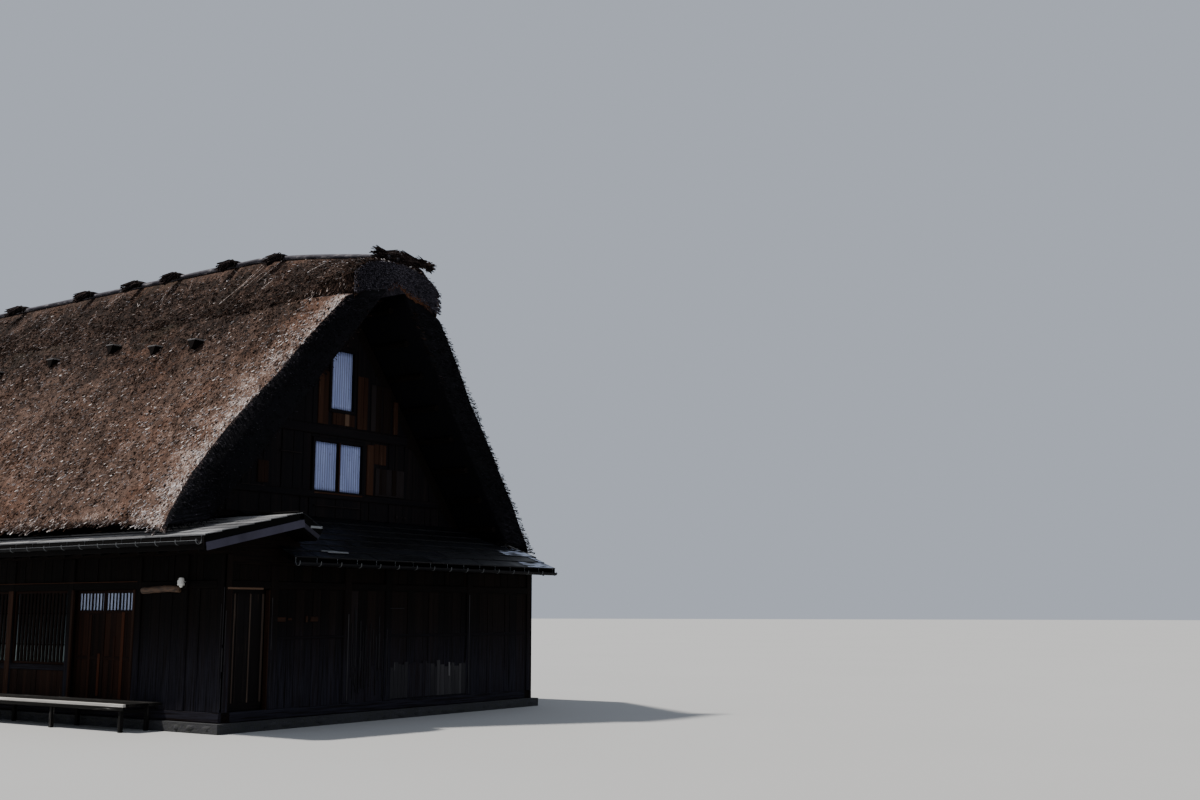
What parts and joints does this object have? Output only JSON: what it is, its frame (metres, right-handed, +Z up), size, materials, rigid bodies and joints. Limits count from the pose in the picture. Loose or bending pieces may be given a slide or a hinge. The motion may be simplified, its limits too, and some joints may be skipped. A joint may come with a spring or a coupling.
{
  "type": "minka farmhouse",
  "caption": "Thatched timber farmhouse with a steep A-shaped roof, boarded walls, metal lean-to roofs and sliding doors.",
  "frame": {"origin": "on the ground under the middle of the house, at the bottom centre of its box", "axes": "+Z up, +Y along the ridge, -Y towards the gable with the slatted door, -X towards the entrance side"},
  "size_m": [9.4006, 18.0006, 8.6829],
  "materials": {
    "stone": "rough field stone",
    "dark_cedar": "smoke-dark weathered cedar",
    "red_cedar": "reddish cedar boards",
    "floor_wood": "worn floorboards",
    "pole_wood": "peeled round poles",
    "thatch": "weathered reed thatch",
    "mossy_thatch": "dark mossy reed thatch",
    "roof_metal": "weathered dark blue-grey sheet",
    "gutter_metal": "dull grey",
    "shoji": "pale translucent panel",
    "lamp_white": "white glass and enamel",
    "bench_wood": "bleached grey planks"
  },
  "bodies": {
    "house": {"attic_floor": "floor_wood", "back_corner_roof": "roof_metal", "back_footing": "stone", "back_gable_wall": "dark_cedar", "back_gutter": "gutter_metal", "back_lower_shoji_left": "shoji", "back_lower_shoji_right": "shoji", "back_pent_roof": "roof_metal", "back_plate": "dark_cedar", "back_sill": "dark_cedar", "back_upper_shoji": "shoji", "back_wall": "dark_cedar", "bench": "bench_wood", "front_corner_roof": "roof_metal", "front_footing": "stone", "front_gable_wall": "dark_cedar", "front_gutter": "gutter_metal", "front_lower_shoji_left": "shoji", "front_lower_shoji_right": "shoji", "front_pent_roof": "roof_metal", "front_plate": "dark_cedar", "front_sill": "dark_cedar", "front_upper_shoji": "shoji", "front_wall": "dark_cedar", "front_wall_over_door": "dark_cedar", "ground_floor": "floor_wood", "left_footing": "stone", "left_gutter": "gutter_metal", "left_lattice_window_1": "red_cedar", "left_lattice_window_2": "red_cedar", "left_lean_to_roof": "roof_metal", "left_plate": "dark_cedar", "left_roof_frame": "pole_wood", "left_sill": "dark_cedar", "left_thatch": "thatch", "left_wall_back": "dark_cedar", "left_wall_front": "dark_cedar", "left_wall_over_entrance": "dark_cedar", "porch_lamp": "lamp_white", "ridge_cap": "mossy_thatch", "ridge_poles": "pole_wood", "right_footing": "stone", "right_gutter": "gutter_metal", "right_lattice_window_1": "red_cedar", "right_lattice_window_2": "red_cedar", "right_lean_to_roof": "roof_metal", "right_plate": "dark_cedar", "right_roof_frame": "pole_wood", "right_sill": "dark_cedar", "right_thatch": "thatch", "right_wall": "dark_cedar", "upper_attic_floor": "floor_wood"},
    "slatted_door": {"slatted_door": "dark_cedar"},
    "entrance_door_near": {"entrance_door_near": "red_cedar"},
    "entrance_door_far": {"entrance_door_far": "red_cedar"}
  },
  "joints": [
    {"name": "slatted_door_slide", "type": "slide", "parent": "house", "child": "slatted_door", "axis": [1, 0, 0], "range_m": [0, 0.72]},
    {"name": "entrance_door_near_slide", "type": "slide", "parent": "house", "child": "entrance_door_near", "axis": [0, 1, 0], "range_m": [0, 0.77]},
    {"name": "entrance_door_far_slide", "type": "slide", "parent": "house", "child": "entrance_door_far", "axis": [0, -1, 0], "range_m": [0, 0.77]}
  ]
}
